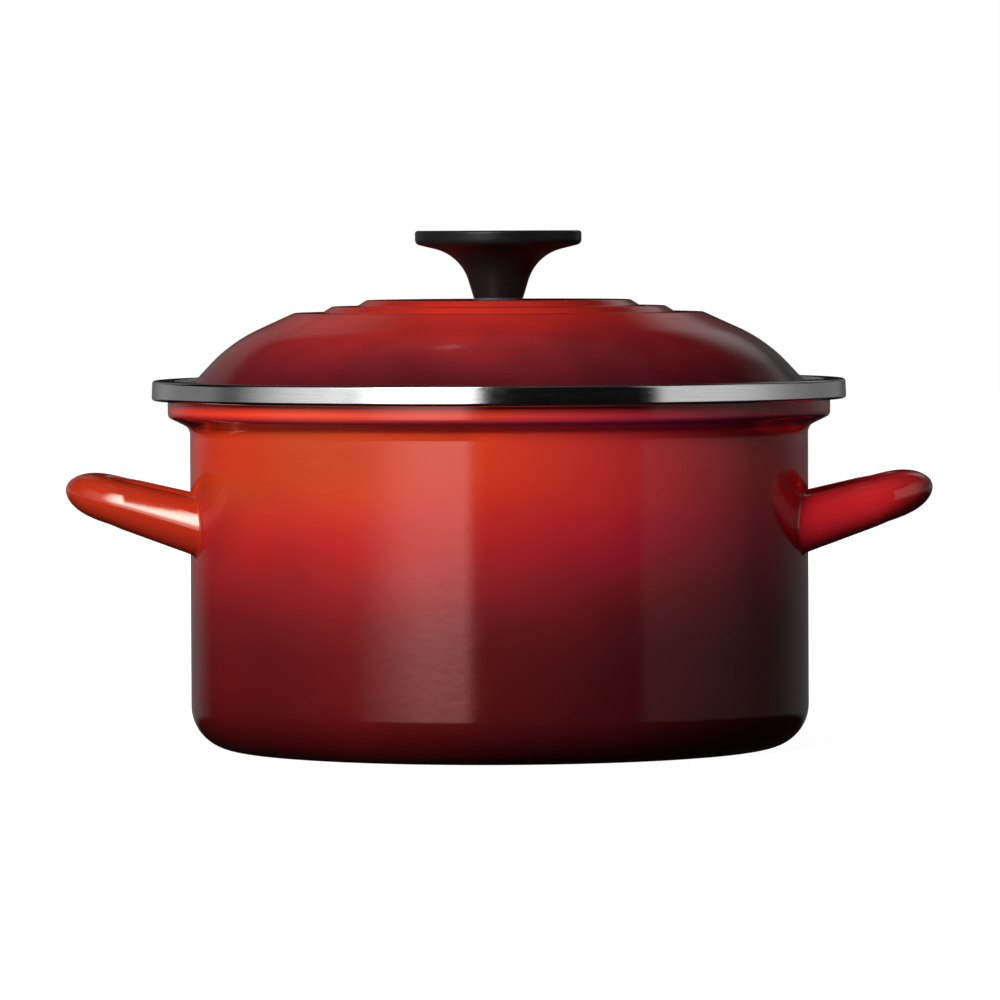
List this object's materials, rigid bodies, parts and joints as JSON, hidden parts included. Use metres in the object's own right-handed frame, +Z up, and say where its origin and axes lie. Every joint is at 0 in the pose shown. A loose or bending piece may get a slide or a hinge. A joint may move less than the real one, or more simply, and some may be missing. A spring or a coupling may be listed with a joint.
{
  "type": "stock pot",
  "caption": "Round enamelled-steel stock pot with steel-banded rim, two upswept loop handles and a stepped lid with a mushroom knob.",
  "frame": {"origin": "on the pot's axis, in the plane that the base stands on", "axes": "+Z up along the pot's axis, towards the knob; +X towards the right-hand handle; the part is symmetric in X and in Y"},
  "size_m": [0.3404, 0.2728, 0.2032],
  "materials": {
    "body_enamel": "glossy vitreous enamel, red outside, black inside",
    "handle_enamel": "glossy vitreous enamel, orange red",
    "lid_enamel": "glossy vitreous enamel, red outside, black inside",
    "rim_steel": "polished stainless steel",
    "knob_phenolic": "satin-gloss moulded phenolic",
    "insert_brass": "turned",
    "gasket_rubber": "matt",
    "screw_steel": "bright stainless steel"
  },
  "bodies": {
    "pot": {"pot_body": "body_enamel", "pot_rim_band": "rim_steel", "handle_left": "handle_enamel", "handle_right": "handle_enamel"},
    "lid": {"lid_shell": "lid_enamel", "lid_rim_band": "rim_steel", "knob": "knob_phenolic", "knob_insert": "insert_brass", "knob_gasket": "gasket_rubber", "inner_gasket": "gasket_rubber", "screw_washer": "screw_steel", "lock_washer": "screw_steel", "knob_screw": "screw_steel"}
  },
  "joints": [
    {"name": "lid_lift", "type": "slide", "parent": "pot", "child": "lid", "axis": [0, 0, 1], "range_m": [0, 0.25]}
  ]
}
